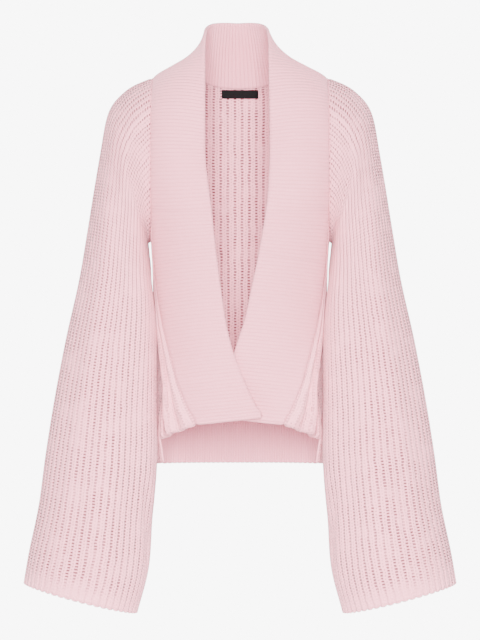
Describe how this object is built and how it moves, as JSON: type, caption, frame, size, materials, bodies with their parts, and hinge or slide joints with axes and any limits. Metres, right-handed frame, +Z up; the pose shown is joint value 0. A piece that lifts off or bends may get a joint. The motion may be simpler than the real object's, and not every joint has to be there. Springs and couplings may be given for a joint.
{
  "type": "oversized sweater",
  "caption": "Oversized wrap-front knit cardigan with a wide shawl band, bell sleeves and a longer back hem, filled out as if worn.",
  "frame": {"origin": "where the wearer carries the garment, inside the neck between the two shoulder points", "axes": "+Z up, front towards -Y, the wearer's left side towards +X"},
  "size_m": [0.5974, 0.2189, 0.8244],
  "materials": {
    "chunky_rib_knit": "soft chunky rib knit",
    "fine_rib_knit": "soft fine rib knit",
    "black_woven_label": "woven"
  },
  "bodies": {
    "root": {"neck_band": "fine_rib_knit", "back_panel": "chunky_rib_knit", "back_hem_band": "fine_rib_knit", "side_panel_right": "chunky_rib_knit", "side_panel_left": "chunky_rib_knit", "front_panel_right": "chunky_rib_knit", "front_panel_left": "chunky_rib_knit", "sleeve_right": "chunky_rib_knit", "sleeve_left": "chunky_rib_knit", "neck_label": "black_woven_label"}
  },
  "joints": []
}
